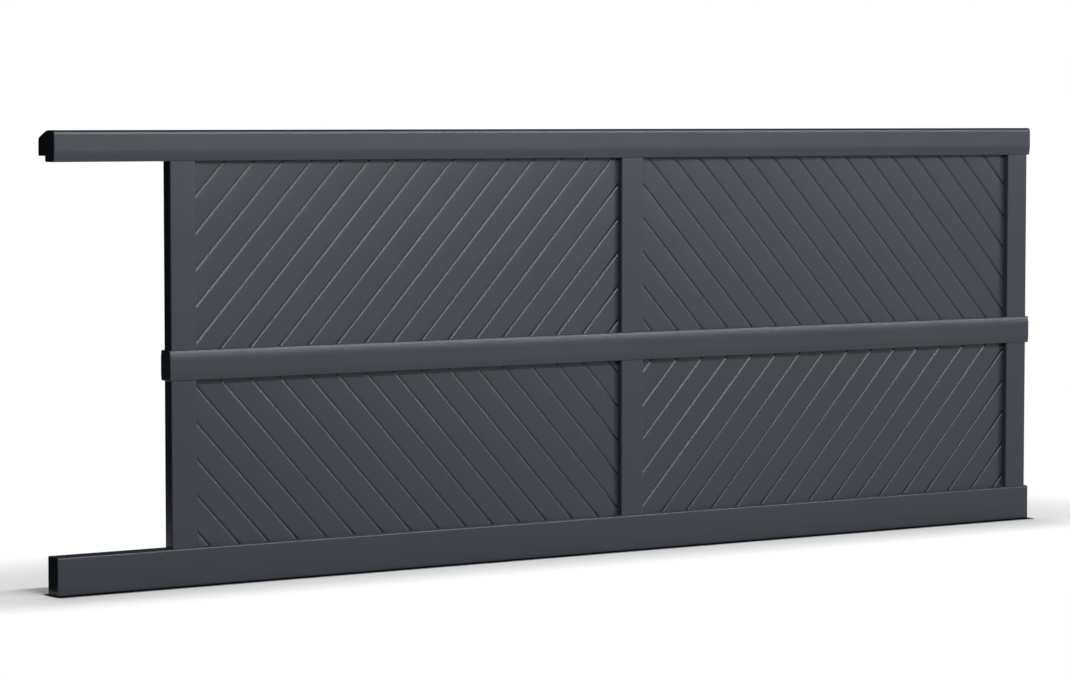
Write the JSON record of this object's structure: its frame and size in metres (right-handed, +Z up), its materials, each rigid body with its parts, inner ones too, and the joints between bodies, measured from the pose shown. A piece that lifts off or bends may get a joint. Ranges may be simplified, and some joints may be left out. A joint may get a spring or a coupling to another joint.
{
  "type": "sliding driveway gate leaf",
  "caption": "Leaf of a sliding driveway gate: hollow rails and stiles around recessed panels, with a guide hood on the top rail and wheels recessed in the bottom rail.",
  "frame": {"origin": "on the underside of the bottom rail, under the middle of the leaf and the middle stile", "axes": "+X along the leaf from the tail to the closing end, +Y from the front to the back where the guide hood is, +Z up"},
  "size_m": [4.395, 0.126, 1.6],
  "materials": {
    "coated_aluminium": "satin powder coat, anthracite grey",
    "coated_boards": "satin powder coat, anthracite grey",
    "cap_plastic": "matte, anthracite grey",
    "wheel_steel": "turned, zinc plated",
    "galvanised_steel": "zinc plated sheet"
  },
  "bodies": {
    "root": {"bottom_rail": "coated_aluminium", "mid_rail": "coated_aluminium", "top_rail": "coated_aluminium", "bottom_rail_cap_tail": "cap_plastic", "bottom_rail_cap_closing": "cap_plastic", "mid_rail_cap_tail": "cap_plastic", "mid_rail_cap_closing": "cap_plastic", "top_rail_cap_tail": "cap_plastic", "top_rail_cap_closing": "cap_plastic", "stile_tail_lower": "coated_aluminium", "stile_tail_upper": "coated_aluminium", "stile_middle_lower": "coated_aluminium", "stile_middle_upper": "coated_aluminium", "stile_closing_lower": "coated_aluminium", "stile_closing_upper": "coated_aluminium", "panel_tail_lower": "coated_boards", "panel_tail_upper": "coated_boards", "panel_closing_lower": "coated_boards", "panel_closing_upper": "coated_boards", "wheel_tail": "wheel_steel", "wheel_closing": "wheel_steel", "axle_tail": "galvanised_steel", "axle_closing": "galvanised_steel", "wheel_carriage_tail": "galvanised_steel", "wheel_carriage_closing": "galvanised_steel"}
  },
  "joints": []
}
